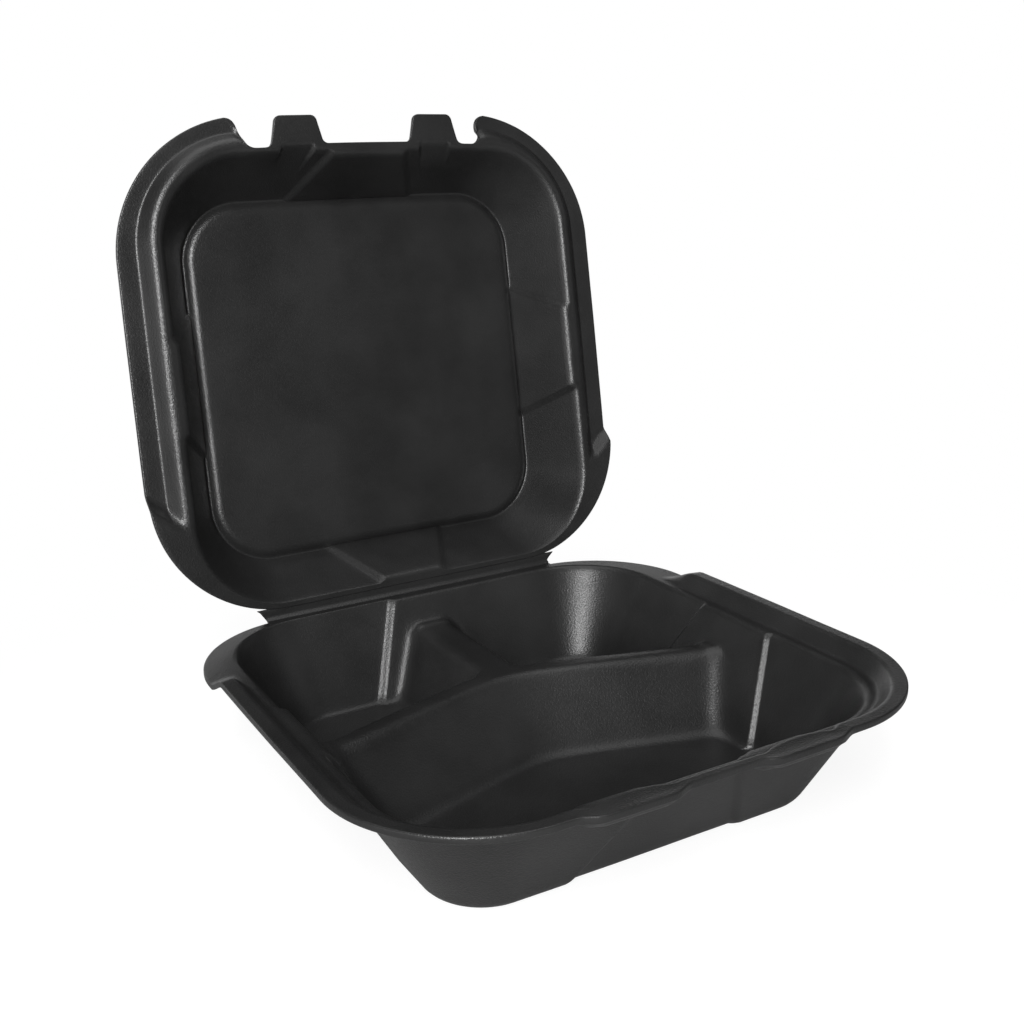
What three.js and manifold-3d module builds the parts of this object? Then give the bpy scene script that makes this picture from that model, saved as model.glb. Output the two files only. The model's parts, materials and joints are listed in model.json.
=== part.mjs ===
// A hinged-lid takeaway container with three compartments, formed from one sheet of black foam
// and shown standing open. It is modelled as its two shells, the base and the lid, which meet
// at the crease of the living hinge.
//
// Both shells are drawn in a forming frame of millimetres: x runs along the hinge, d is the
// distance in front of the hinge crease, and e is the depth from the plane where the closed
// shells meet, positive into either shell's cavity. The part's origin is under the middle of
// the front compartment, on the table; +X runs along the hinge, +Y points to the hinge and +Z
// is up.
import * as THREE from "three";
import { mergeVertices } from "three/addons/utils/BufferGeometryUtils.js";
import Module from "manifold-3d";

const wasm = await Module();
wasm.setup();

// ---- driving dimensions, in millimetres and degrees ----
const SHEET = 2.5; // thickness of the foam
const RIM_HALF_WIDTH = 117; // hinge direction, to the outside of the rim
const RIM_FRONT = 222; // from the crease to the front of the rim
const RIM_BACK = 3.2; // from the crease to the back of the rim
const RIM_FRONT_RADIUS = 57; // outer corners at the front
const RIM_BACK_RADIUS = 48; // outer corners beside the hinge
const LIP_HEIGHT = 5.8; // of the raised lip round the base's rim
const LEDGE_WIDTH = 17.2; // from the cavity's edge to the outside of the rim, at the sides
const LEDGE_FRONT = 15; // the same at the front
const LEDGE_BACK = 2.8; // the same at the hinge
const MOUTH_RADIUS = 38; // corners of the cavity at the rim
const LEDGE_SHARE = 0.22; // part of the rim's width that is flat ledge
const SLOPE_SHARE = 0.58; // part of the rim's width where the riser ends
const BASE_DEPTH = 42; // from the ledge to the underside
const WALL_LEAN = 22.8; // how far the side and front walls lean in over their height
const BACK_LEAN = 19.6; // the same for the wall beside the hinge
const FOOT_RADIUS = 20; // corners of the floor
const LIP_SETBACK = 4.8; // from the end of the rim's back corner to where the base's lip starts
const LIP_RUN = 12; // over which that lip rises to its full height
const SIDE_PANEL_SHIFT = 1.5; // middle of the side panels behind the middle of the cavity
const SIDE_PANEL_HALF = 22.3; // half width of a side panel at the rim
const SIDE_PANEL_FOOT_HALF = 38; // half width of a side panel at the base's floor
const END_PANEL_HALF = 18; // half width of the front and back panels at the rim
const END_PANEL_FOOT_HALF = 34; // half width of the front and back panels at the floor
const PANEL_INSET = 2.2; // how far a panel stands into the cavity
const PANEL_EDGE = 1.8; // width of the slanting edge of a panel
const DIVIDER_DROP = 12; // from the ledge down to the top of a divider
const LONG_HALF_TOP = 7; // half width of the long divider's top
const LONG_LEAN = 0.6; // sideways run of the long divider's sides for each mm of height
const SHORT_HALF_TOP = 5.5; // half width of the short divider's top
const SHORT_LEAN = 0.5; // sideways run of the short divider's sides for each mm of height
const DIVIDER_ROUND = 3; // chamfer along a divider's top
const REAR_REACH = 78.5; // from the back of the cavity to the middle of the long divider
const DIVIDER_SPLAY = 0.285; // how fast the long divider swings to the front
const TAB_SHARE = 0.57; // where a tab stands on the front rim's straight half
const TAB_SETBACK = 2.2; // from the front of the rim back to a tab's tip
const TAB_HALF_TIP = 10.2; // half width of a tab at its tip
const TAB_HALF_ROOT = 12.4; // half width of a tab at its root
const TAB_CORNER = 3; // radius of a tab's corners
const TAB_GAP = 0.8; // from a closed tab's tip to its pocket
const LUG_GAP = 0.4; // from a closed tab's top to its lug
const POCKET_MARGIN = 2.6; // from a tab's root to its pocket's side, on each side
const POCKET_EDGE = 4; // width of the slope at a pocket's side
const POCKET_BULGE = 3; // how far a pocket stands out in front of the rim
const POCKET_SKIN = 2; // thickness of a pocket's front face
const LUG_REACH = 6.6; // from the front of the rim to the middle of a lug's inner edge
const LUG_END_REACH = 3; // the same at the lug's two ends
const POCKET_LEDGE = 1.5; // how far a pocket's ledge stands into the cavity
const POCKET_LEAN = 0.8; // of a pocket's front face over the lip's height
const MIDDLE_HOLLOW = 1.5; // how far the cavity's edge steps forward between the pockets
const MIDDLE_RISER_FOOT = 4.5; // from the cavity to the riser's foot between the pockets
const MIDDLE_RISER_TOP = 11.8; // from the cavity to the riser's top between the pockets
const LID_DEPTH = 32.5; // from the meeting plane to the outside of the lid
const LID_SIDE_LEAN = 16.2; // how far the lid's side walls lean in over their height
const LID_FRONT_LEAN = 17.7; // the same for its front wall
const LID_BACK_LEAN = 15.4; // the same for its wall beside the hinge
const PLATEAU_RADIUS = 27; // corners of the raised panel inside the lid
const PLATEAU_RISE = 3; // how far it stands out of the groove round it
const PLATEAU_EDGE = 1.2; // width of its slanting edge
const GROOVE_WIDTH = 3.6; // of the groove between the raised panel and the walls, with that edge
const LID_LEDGE_EXTRA = 2.2; // how much wider than the base's the lid's front ledge is
const LID_LIP_SETBACK = 9.8; // from the end of the back corner to the full step of the lid's rim
const LID_LIP_RUN = 12; // over which the lid's rim steps back
const LID_PANEL_FOOT_HALF = 34.5; // half width of a lid side panel at the groove
const LID_END_PANEL_FOOT_HALF = 32; // half width of the lid's end panels at the groove
const LID_PANEL_FOOT_INSET = 1.5; // how far the lid's panels stand in at the groove
const NOTCH_WIDTH = 13.9; // from a tab's root to the end of the lid's stepped rim
const FRONT_LEDGE = 3.4; // width of the lid's rim between its tabs
const NOTCH_LEDGE = 1.8; // width of the lid's rim in a notch beside a tab
const NOTCH_RADIUS = 6; // of the round notch beside a tab
const FLANGE_ROUND = 5; // radius of the end of the lid's stepped rim
const THUMB_DEPTH = 3; // of the hollow at the root of a tab
const THUMB_HEIGHT = 10; // how far that hollow runs down the wall
const THUMB_HALF = 7; // its half width
const CLOSED_GAP = 0.4; // between the closed shells
const HINGE_SETBACK = 44; // from the side of the rim to the end of the hinge strip
const HINGE_FLARE = 6; // how much longer the lid's half is at the rim, each side
const HINGE_SHEET = 1.6; // thickness of the pressed hinge strip
const CREASE_GAP = 0.15; // from each shell to the crease
const OPEN_ANGLE = 98.7; // of the lid, from closed
const CORNER_STEPS = 9; // facets in a rounded corner of a shell
const NOTCH_STEPS = 5; // facets in a rounded corner of the lid's front edge
const TAB_STEPS = 4; // facets in a rounded corner of a tab
const LUG_STEPS = 8; // facets in a lug's curved edge

// ---- worked out from those ----
const FLOOR = BASE_DEPTH - SHEET; // depth of the inside of the floor
const MOUTH_HALF_WIDTH = RIM_HALF_WIDTH - LEDGE_WIDTH;
const MOUTH_FRONT = RIM_FRONT - LEDGE_FRONT;
const MOUTH_BACK = RIM_BACK + LEDGE_BACK;
const BACK_CORNER_END = RIM_BACK + RIM_BACK_RADIUS;
const LIP_START = BACK_CORNER_END + LIP_SETBACK;
const LIP_FULL = LIP_START + LIP_RUN;
const LID_LIP_FULL = BACK_CORNER_END + LID_LIP_SETBACK;
const LID_LIP_START = LID_LIP_FULL - LID_LIP_RUN;
const SIDE_PANEL_MIDDLE = (MOUTH_BACK + MOUTH_FRONT) / 2 - SIDE_PANEL_SHIFT;
const FOOT_BACK = MOUTH_BACK + BACK_LEAN;
const FOOT_FRONT = MOUTH_FRONT - WALL_LEAN;
const LONG_APEX = MOUTH_BACK + REAR_REACH; // middle of the long divider, from the crease
const LONG_HALF_FOOT = LONG_HALF_TOP + LONG_LEAN * (BASE_DEPTH - DIVIDER_DROP);
const WALL_ANGLE = Math.atan(WALL_LEAN / FLOOR);
// How far the outer face of a leaning wall lies outside the inner one, where each meets a level.
const WALL_OUT = SHEET * (1 / Math.cos(WALL_ANGLE) - Math.tan(WALL_ANGLE));
// How far the outer face of a bend of 45 degrees lies beyond the inner one.
const BEND = SHEET * Math.tan(Math.PI / 8);
const underShare = (share) => (share * LEDGE_WIDTH + BEND - WALL_OUT) / (LEDGE_WIDTH - WALL_OUT);
const UNDER_LEDGE_SHARE = underShare(LEDGE_SHARE);
const UNDER_SLOPE_SHARE = underShare(SLOPE_SHARE);
const TAB_MIDDLE = TAB_SHARE * (RIM_HALF_WIDTH - RIM_FRONT_RADIUS);
const TAB_TIP = RIM_FRONT - TAB_SETBACK;
const POCKET_INNER = TAB_MIDDLE - TAB_HALF_ROOT - POCKET_MARGIN;
const POCKET_OUTER = TAB_MIDDLE + TAB_HALF_ROOT + POCKET_MARGIN;
const POCKET_FACE = TAB_TIP + TAB_GAP;
const LID_MOUTH_FRONT = MOUTH_FRONT - LID_LEDGE_EXTRA;
const LID_CEILING = LID_DEPTH - SHEET; // depth of the inside of the groove
const NOTCH_EDGE = LID_MOUTH_FRONT + NOTCH_LEDGE;
const FLANGE_END = TAB_MIDDLE + TAB_HALF_ROOT + NOTCH_WIDTH;
const HINGE_HALF_LENGTH = RIM_HALF_WIDTH - HINGE_SETBACK;
const ORIGIN_FRONT = (LONG_APEX + LONG_HALF_FOOT + FOOT_FRONT) / 2;
const CREASE = new THREE.Vector3(0, ORIGIN_FRONT, BASE_DEPTH);

const clamp01 = (v) => Math.min(1, Math.max(0, v));
const mix = (a, b, share) => a + (b - a) * share;

// ---- rings ----
// A ring runs once round a shell. Every ring of a shell has the same stations, so that station
// number i of one ring joins station number i of the next. A ring's points are {x, d, e}.

// One quarter of the corner stations of a rounded rectangle, from angle a to a quarter turn on.
function corner(points, x, d, radiusX, radiusD, start) {
  for (let i = 0; i <= CORNER_STEPS; i++) {
    const turn = start + ((Math.PI / 2) * i) / CORNER_STEPS;
    points.push({
      x: x + radiusX * Math.cos(turn),
      d: d + radiusD * Math.sin(turn),
      e: 0,
    });
  }
}

// A rounded rectangle with stations along its four runs. front holds the stations [x, set back]
// of the right half of the front run, from the corner to the middle; back holds the same for
// the back run, and side holds the stations [d, set in] of the right side from back to front.
function ring({ half, back, front, radius, backRadius }, { side, frontRun, backRun }) {
  const rear = backRadius ?? radius;
  const right = [];
  backRun.toReversed().forEach(([x, inset]) => right.push({ x, d: back + inset, e: 0 }));
  corner(right, half - rear, back + rear, rear, rear, -Math.PI / 2);
  side.forEach(([d, inset]) => right.push({ x: half - inset, d, e: 0 }));
  corner(right, half - radius, front - radius, radius, radius, 0);
  frontRun.forEach(([x, inset]) => right.push({ x, d: front - inset, e: 0 }));
  const left = right.toReversed().map((p) => ({ x: -p.x, d: p.d, e: p.e }));
  return [...right, ...left];
}

const atDepth = (points, e) => points.map((p) => ({ ...p, e }));

// The ring a share of the way from one ring to another.
function between(inner, outer, share) {
  return inner.map((p, i) => ({
    x: mix(p.x, outer[i].x, share),
    d: mix(p.d, outer[i].d, share),
    e: 0,
  }));
}

// The two stations that divide a plain run in three.
const thirds = (from, to) => [1 / 3, 2 / 3].map((share) => [mix(from, to, share), 0]);

// Stations of a panel's two slanting edges on a side run, with the panel's set-in.
function sidePanel(middle, half, inset) {
  return [
    [middle - half, 0],
    [middle - half + PANEL_EDGE, inset],
    [middle + half - PANEL_EDGE, inset],
    [middle + half, 0],
  ];
}

// Stations of one slanting edge of a panel in the front or back run, right half.
function endPanel(half, inset) {
  return [
    [half, 0],
    [half - PANEL_EDGE, inset],
  ];
}

// A closed mesh from rings that start round the first centre and end round the last one.
function shellFromRings(first, rings, last, up) {
  const count = rings[0].length;
  const position = [];
  const put = ({ x, d, e }) => position.push(x, -d, up * e);
  put(first);
  rings.forEach((points) => points.forEach(put));
  put(last);
  const at = (r, i) => 1 + r * count + (i % count);
  const end = 1 + rings.length * count;
  const index = [];
  const face = (a, b, c) => (up > 0 ? index.push(a, b, c) : index.push(a, c, b));
  for (let i = 0; i < count; i++) {
    face(0, at(0, i), at(0, i + 1));
    face(end, at(rings.length - 1, i + 1), at(rings.length - 1, i));
    for (let r = 0; r + 1 < rings.length; r++) {
      face(at(r, i), at(r + 1, i), at(r + 1, i + 1));
      face(at(r, i), at(r + 1, i + 1), at(r, i + 1));
    }
  }
  return solidFrom(position, index);
}

// ---- solids ----
function solidFrom(position, index) {
  const geometry = new THREE.BufferGeometry();
  geometry.setAttribute("position", new THREE.Float32BufferAttribute(position, 3));
  geometry.setIndex(index);
  return solidOf(geometry);
}

function solidOf(geometry) {
  geometry.deleteAttribute("normal");
  geometry.deleteAttribute("uv");
  const merged = mergeVertices(geometry, 1e-4);
  return new wasm.Manifold(
    new wasm.Mesh({
      numProp: 3,
      vertProperties: merged.attributes.position.array,
      triVerts: new Uint32Array(merged.index.array),
    }),
  );
}

function geometryOf(solid) {
  const mesh = solid.getMesh();
  const geometry = new THREE.BufferGeometry();
  const position = new THREE.BufferAttribute(mesh.vertProperties, mesh.numProp);
  geometry.setAttribute("position", position);
  geometry.setIndex(new THREE.BufferAttribute(mesh.triVerts, 1));
  const flat = geometry.toNonIndexed();
  flat.computeVertexNormals();
  return flat;
}

// A slab whose outline is drawn in x and d, between two depths.
function slab(outline, from, to, up) {
  const shape = new THREE.Shape(outline.map(([x, d]) => new THREE.Vector2(x, -d)));
  const geometry = new THREE.ExtrudeGeometry(shape, { depth: to - from, bevelEnabled: false });
  geometry.translate(0, 0, up > 0 ? from : -to);
  return solidOf(geometry);
}

// A prism whose section is drawn in d and e and which runs along x.
function prismAlongX(section, from, to, up) {
  const shape = new THREE.Shape(section.map(([d, e]) => new THREE.Vector2(-d, up * e)));
  const geometry = new THREE.ExtrudeGeometry(shape, { depth: to - from, bevelEnabled: false });
  geometry.rotateX(Math.PI / 2);
  geometry.rotateZ(Math.PI / 2);
  geometry.translate(from, 0, 0);
  return solidOf(geometry);
}

// ---- the base ----
const baseSideRim = [
  [LIP_START, 0],
  [LIP_FULL, 0],
  ...sidePanel(SIDE_PANEL_MIDDLE, SIDE_PANEL_HALF, PANEL_INSET),
];
const baseSideFoot = [
  ...thirds(FOOT_BACK + FOOT_RADIUS, SIDE_PANEL_MIDDLE - SIDE_PANEL_FOOT_HALF),
  ...sidePanel(SIDE_PANEL_MIDDLE, SIDE_PANEL_FOOT_HALF, PANEL_INSET),
];

// Stations of the front run of the base: a tab pocket, then the middle of the front. Each
// station's second number is how far it is set back from the plain front of its ring.
function baseFront(pocket, middle) {
  return [
    [POCKET_OUTER, 0],
    [POCKET_OUTER - POCKET_EDGE, pocket],
    [POCKET_INNER + POCKET_EDGE, pocket],
    [POCKET_INNER, middle],
  ];
}

const BACK_RIM = endPanel(END_PANEL_HALF, PANEL_INSET);
const BACK_PLAIN = endPanel(END_PANEL_HALF, 0);
const BACK_FOOT = endPanel(END_PANEL_FOOT_HALF, PANEL_INSET);

const rimSize = {
  half: RIM_HALF_WIDTH,
  back: RIM_BACK,
  front: RIM_FRONT,
  radius: RIM_FRONT_RADIUS,
  backRadius: RIM_BACK_RADIUS,
};
const mouthSize = {
  half: MOUTH_HALF_WIDTH,
  back: MOUTH_BACK,
  front: MOUTH_FRONT,
  radius: MOUTH_RADIUS,
};
const footSize = {
  half: MOUTH_HALF_WIDTH - WALL_LEAN,
  back: FOOT_BACK,
  front: FOOT_FRONT,
  radius: FOOT_RADIUS,
};
const baseFootFront = [
  ...thirds(footSize.half - FOOT_RADIUS, END_PANEL_FOOT_HALF),
  ...endPanel(END_PANEL_FOOT_HALF, PANEL_INSET),
];

const grown = ({ half, back, front, radius, backRadius }, by) => ({
  half: half + by,
  back: back - by,
  front: front + by,
  radius: radius + by,
  backRadius: backRadius === undefined ? undefined : backRadius + by,
});

function baseRings() {
  const side = baseSideRim;
  const plainSide = side.map(([d]) => [d, 0]);
  const mouthFront = baseFront(POCKET_LEDGE, -MIDDLE_HOLLOW);
  const rimFront = baseFront(-POCKET_BULGE, 0);
  const mouthRuns = { side, frontRun: mouthFront, backRun: BACK_RIM };
  const mouth = ring(mouthSize, mouthRuns);
  const rim = ring(rimSize, { side: plainSide, frontRun: rimFront, backRun: BACK_PLAIN });
  const footRuns = { side: baseSideFoot, frontRun: baseFootFront, backRun: BACK_FOOT };
  const foot = ring(footSize, footRuns);
  const underMouth = ring(grown(mouthSize, WALL_OUT), mouthRuns);
  const underFoot = ring(grown(footSize, WALL_OUT), footRuns);

  // The ledge and riser follow the rim, except where the pockets push them forward.
  const lift = (p) => -LIP_HEIGHT * clamp01((p.d - LIP_START) / (LIP_FULL - LIP_START));
  const frontStation = (i) => Math.abs(rim[i].x) < POCKET_OUTER - 1e-6 && rim[i].d > MOUTH_FRONT;
  const inPocket = (i) => frontStation(i) && Math.abs(rim[i].x) > POCKET_INNER + 1e-6;
  const riserFoot = between(mouth, rim, LEDGE_SHARE);
  const riserTop = between(mouth, rim, SLOPE_SHARE);
  const underRiserFoot = between(underMouth, rim, UNDER_LEDGE_SHARE);
  const underRiserTop = between(underMouth, rim, UNDER_SLOPE_SHARE);
  rim.forEach((_, i) => {
    if (!frontStation(i)) return;
    riserFoot[i].d = inPocket(i) ? POCKET_FACE : MOUTH_FRONT + MIDDLE_RISER_FOOT;
    riserTop[i].d = inPocket(i) ? POCKET_FACE + POCKET_LEAN : MOUTH_FRONT + MIDDLE_RISER_TOP;
    underRiserFoot[i].d = riserFoot[i].d + (inPocket(i) ? POCKET_SKIN : BEND);
    underRiserTop[i].d = riserTop[i].d + (inPocket(i) ? POCKET_SKIN : BEND);
  });
  const lifted = (points, drop) =>
    points.map((p, i) => ({ x: p.x, d: p.d, e: lift(rim[i]) + drop }));
  return [
    atDepth(foot, FLOOR),
    mouth,
    riserFoot,
    lifted(riserTop, 0),
    lifted(rim, 0),
    lifted(rim, SHEET),
    lifted(underRiserTop, SHEET),
    atDepth(underRiserFoot, SHEET),
    atDepth(underMouth, SHEET),
    atDepth(underFoot, BASE_DEPTH),
  ];
}

// Section of a divider above a depth: half widths and depths from one foot over the top to the
// other. inset thins it, for the hollow beneath.
function dividerSection({ halfTop, lean }, low, inset) {
  const top = DIVIDER_DROP + inset;
  const half = halfTop + lean * inset - inset * Math.hypot(1, lean);
  const rightSide = [
    [half + lean * (low - top), low],
    [half + lean * DIVIDER_ROUND, top + DIVIDER_ROUND],
    [half - DIVIDER_ROUND, top],
  ];
  return [...rightSide, ...rightSide.toReversed().map(([w, e]) => [-w, e])];
}

// A ridge with that section along a path of [x, d] points. The section is laid across x when
// the path runs forward, and across d when it runs along the hinge.
function ridge(path, section, across) {
  const count = section.length;
  const position = [];
  path.forEach(([x, d]) =>
    section.forEach(([w, e]) => {
      if (across === "x") position.push(x + w, -d, -e);
      else position.push(x, -(d + w), -e);
    }),
  );
  const index = [];
  const last = (path.length - 1) * count;
  for (let i = 0; i < count; i++) {
    const j = (i + 1) % count;
    for (let s = 0; s < last; s += count) {
      index.push(s + i, s + j, s + count + j);
      index.push(s + i, s + count + j, s + count + i);
    }
    if (i > 0 && i < count - 1) {
      index.push(0, i + 1, i);
      index.push(last, last + i, last + i + 1);
    }
  }
  const made = solidFrom(position, index);
  return made.volume() > 0 ? made : solidFrom(position, index.toReversed());
}

function dividers(low, inset) {
  const longSection = dividerSection({ halfTop: LONG_HALF_TOP, lean: LONG_LEAN }, low, inset);
  const shortSection = dividerSection({ halfTop: SHORT_HALF_TOP, lean: SHORT_LEAN }, low, inset);
  const reach = RIM_HALF_WIDTH;
  const swing = LONG_APEX + DIVIDER_SPLAY * reach;
  const long = ridge([[-reach, swing], [0, LONG_APEX], [reach, swing]], longSection, "d");
  const short = ridge([[0, 0], [0, LONG_APEX]], shortSection, "x");
  return long.add(short);
}

// The hinge strip of one shell: longer at the rim by the flare.
function hingeStrip(flare, from, up) {
  const reach = (RIM_BACK + MOUTH_BACK) / 2;
  const half = HINGE_HALF_LENGTH;
  const outline = [
    [-half, CREASE_GAP],
    [half, CREASE_GAP],
    [half + flare, RIM_BACK],
    [half + flare - 2 * SHEET, reach],
    [-half - flare + 2 * SHEET, reach],
    [-half - flare, RIM_BACK],
  ];
  return slab(outline, from, from + HINGE_SHEET, up);
}

// The lug that roofs a pocket, level with the lip: the tab snaps in under its curved edge.
function lug(middle) {
  const half = (POCKET_OUTER - POCKET_INNER) / 2;
  const outline = [];
  for (let i = 0; i <= LUG_STEPS; i++) {
    const share = (2 * i) / LUG_STEPS - 1;
    const reach = mix(LUG_REACH, LUG_END_REACH, share ** 2);
    outline.push([middle + half * share, RIM_FRONT - reach]);
  }
  outline.push([middle + half, POCKET_FACE + SHEET / 2]);
  outline.push([middle - half, POCKET_FACE + SHEET / 2]);
  return slab(outline, -LIP_HEIGHT, -CLOSED_GAP - SHEET - LUG_GAP, -1);
}

function makeBase() {
  const up = -1;
  const middle = (e) => ({ x: 0, d: (FOOT_BACK + FOOT_FRONT) / 2, e });
  const rings = baseRings();
  const tray = shellFromRings(middle(FLOOR), rings, middle(BASE_DEPTH), up);
  // The space inside the outer faces of the walls trims the dividers to the tray.
  const [underMouth, underFoot] = rings.slice(-2);
  const brim = atDepth(underMouth, 0);
  const space = shellFromRings(middle(0), [brim, underMouth, underFoot], middle(BASE_DEPTH), up);
  const ridges = dividers(BASE_DEPTH, 0).intersect(space);
  const hollow = dividers(BASE_DEPTH + LIP_HEIGHT, SHEET);
  const lugs = lug(-TAB_MIDDLE).add(lug(TAB_MIDDLE));
  return tray.add(ridges).subtract(hollow).add(lugs).add(hingeStrip(0, 0, up));
}

// ---- the lid ----
const lidMouthSize = { ...mouthSize, front: LID_MOUTH_FRONT };
const grooveSize = {
  half: MOUTH_HALF_WIDTH - LID_SIDE_LEAN,
  back: MOUTH_BACK + LID_BACK_LEAN,
  front: LID_MOUTH_FRONT - LID_FRONT_LEAN,
  radius: PLATEAU_RADIUS + GROOVE_WIDTH,
};
const plateauSize = grown(grooveSize, -GROOVE_WIDTH);

function lidRings() {
  const sideRim = [
    [LID_LIP_FULL, 0],
    ...sidePanel(SIDE_PANEL_MIDDLE, SIDE_PANEL_HALF, PANEL_INSET),
  ];
  const straight = grooveSize.back + grooveSize.radius;
  const sideFoot = [
    [(straight + SIDE_PANEL_MIDDLE - LID_PANEL_FOOT_HALF) / 2, 0],
    ...sidePanel(SIDE_PANEL_MIDDLE, LID_PANEL_FOOT_HALF, LID_PANEL_FOOT_INSET),
  ];
  const flat = (run) => run.map(([at]) => [at, 0]);
  const footEnd = endPanel(LID_END_PANEL_FOOT_HALF, LID_PANEL_FOOT_INSET);
  const mouthRuns = { side: sideRim, frontRun: BACK_RIM, backRun: BACK_RIM };
  const footRuns = { side: sideFoot, frontRun: footEnd, backRun: footEnd };
  const rimRuns = { side: flat(sideRim), frontRun: BACK_PLAIN, backRun: BACK_PLAIN };
  const plainFootRuns = { side: flat(sideFoot), frontRun: flat(footEnd), backRun: flat(footEnd) };

  const rim = ring(rimSize, rimRuns);
  const depth = rim.map(
    (p) => LIP_HEIGHT * clamp01((p.d - LID_LIP_START) / (LID_LIP_FULL - LID_LIP_START)),
  );
  // The rim beyond the ledge is laid out from the base's mouth, so that it nests in the base's.
  const baseMouth = ring(mouthSize, mouthRuns);
  const underBaseMouth = ring(grown(mouthSize, WALL_OUT), mouthRuns);
  const stepped = (points, drop) => points.map((p, i) => ({ ...p, e: depth[i] + drop }));
  const underMouth = ring(grown(lidMouthSize, WALL_OUT), mouthRuns);
  return [
    atDepth(ring(plateauSize, plainFootRuns), LID_CEILING - PLATEAU_RISE),
    atDepth(ring(grown(plateauSize, PLATEAU_EDGE), plainFootRuns), LID_CEILING),
    atDepth(ring(grooveSize, footRuns), LID_CEILING),
    atDepth(ring(lidMouthSize, mouthRuns), CLOSED_GAP),
    atDepth(between(baseMouth, rim, LEDGE_SHARE), CLOSED_GAP),
    stepped(between(baseMouth, rim, SLOPE_SHARE), CLOSED_GAP),
    stepped(rim, CLOSED_GAP),
    stepped(rim, CLOSED_GAP + SHEET),
    stepped(between(underBaseMouth, rim, UNDER_SLOPE_SHARE), CLOSED_GAP + SHEET),
    atDepth(between(underBaseMouth, rim, UNDER_LEDGE_SHARE), CLOSED_GAP + SHEET),
    atDepth(underMouth, CLOSED_GAP + SHEET),
    atDepth(ring(grown(grooveSize, WALL_OUT), footRuns), LID_DEPTH),
    atDepth(ring(grown(plateauSize, PLATEAU_EDGE - SHEET), plainFootRuns), LID_DEPTH),
    atDepth(ring(grown(plateauSize, -SHEET), plainFootRuns), LID_DEPTH - PLATEAU_RISE),
  ];
}

// What is cut from the front of the lid's rim: its middle, down to the low edge, with a round
// notch beside each tab and a rounded end on the stepped rim that stays.
function frontCut() {
  const right = [];
  const arc = (x, d, radius, start, turn) => {
    for (let i = 0; i <= NOTCH_STEPS; i++) {
      const angle = THREE.MathUtils.degToRad(start + (turn * i) / NOTCH_STEPS);
      right.push([x + radius * Math.cos(angle), d + radius * Math.sin(angle)]);
    }
  };
  right.push([TAB_MIDDLE, LID_MOUTH_FRONT + FRONT_LEDGE]);
  right.push([TAB_MIDDLE, NOTCH_EDGE]);
  arc(FLANGE_END - NOTCH_RADIUS, NOTCH_EDGE + NOTCH_RADIUS, NOTCH_RADIUS, -90, 90);
  arc(FLANGE_END + FLANGE_ROUND, RIM_FRONT - FLANGE_ROUND, FLANGE_ROUND, 180, -90);
  right.push([FLANGE_END + FLANGE_ROUND, RIM_FRONT + SHEET]);
  const outline = [...right, ...right.toReversed().map(([x, d]) => [-x, d])];
  return slab(outline, -SHEET, LIP_HEIGHT + CLOSED_GAP + 2 * SHEET, 1);
}

// The outline of a tab, tapered to its tip, with rounded tip corners.
function tabOutline(middle) {
  const root = MOUTH_FRONT - SHEET / 2;
  const outline = [[middle + TAB_HALF_ROOT, root]];
  outline.push([middle + TAB_HALF_ROOT, NOTCH_EDGE + SHEET]);
  for (const side of [1, -1]) {
    for (let i = 0; i <= TAB_STEPS; i++) {
      const turn = (Math.PI / 2) * (side > 0 ? i / TAB_STEPS : 1 - i / TAB_STEPS);
      outline.push([
        middle + side * (TAB_HALF_TIP - TAB_CORNER * (1 - Math.cos(turn))),
        TAB_TIP - TAB_CORNER * (1 - Math.sin(turn)),
      ]);
    }
  }
  outline.push([middle - TAB_HALF_ROOT, NOTCH_EDGE + SHEET]);
  outline.push([middle - TAB_HALF_ROOT, root]);
  return outline;
}

// The hollow in the wall at a tab's root, and the bulge that it makes outside.
function thumbHollow(out) {
  const wall = (e) => LID_MOUTH_FRONT - (LID_FRONT_LEAN * e) / LID_CEILING;
  const bite = SHEET / 4;
  const rim = out > 0 ? CLOSED_GAP : -SHEET;
  return [
    [wall(0) - bite, rim],
    [wall(0) + THUMB_DEPTH + out, rim],
    [wall(0) + THUMB_DEPTH + out, CLOSED_GAP + SHEET / 2],
    [wall(THUMB_HEIGHT) + out, THUMB_HEIGHT + out],
    [wall(THUMB_HEIGHT) - bite, THUMB_HEIGHT],
  ];
}

function makeLid() {
  const up = 1;
  const middle = (e) => ({ x: 0, d: (plateauSize.back + plateauSize.front) / 2, e });
  const inside = LID_CEILING - PLATEAU_RISE;
  const shell = shellFromRings(middle(inside), lidRings(), middle(LID_DEPTH - PLATEAU_RISE), up);
  let lid = shell.subtract(frontCut());
  for (const side of [-1, 1]) {
    const at = side * TAB_MIDDLE;
    lid = lid.add(slab(tabOutline(at), CLOSED_GAP, CLOSED_GAP + SHEET, up));
    const bulge = [at - THUMB_HALF - SHEET, at + THUMB_HALF + SHEET];
    lid = lid.add(prismAlongX(thumbHollow(SHEET), ...bulge, up));
    lid = lid.subtract(prismAlongX(thumbHollow(0), at - THUMB_HALF, at + THUMB_HALF, up));
  }
  return lid.add(hingeStrip(HINGE_FLARE, CLOSED_GAP, up));
}

// ---- the part ----
function foam(name, color) {
  return new THREE.MeshStandardMaterial({ name, color, roughness: 0.5, metalness: 0 });
}

const baseMesh = new THREE.Mesh(geometryOf(makeBase()), foam("base_foam", 0x2b2b2b));
baseMesh.name = "compartment_base";
baseMesh.position.copy(CREASE);

const lidMesh = new THREE.Mesh(geometryOf(makeLid()), foam("lid_foam", 0x292929));
lidMesh.name = "hinged_lid";

const lidHinge = new THREE.Group();
lidHinge.position.copy(CREASE);
lidHinge.rotation.x = THREE.MathUtils.degToRad(-OPEN_ANGLE);
lidHinge.add(lidMesh);

const container = new THREE.Group();
container.add(baseMesh, lidHinge);

export default container;
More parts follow.
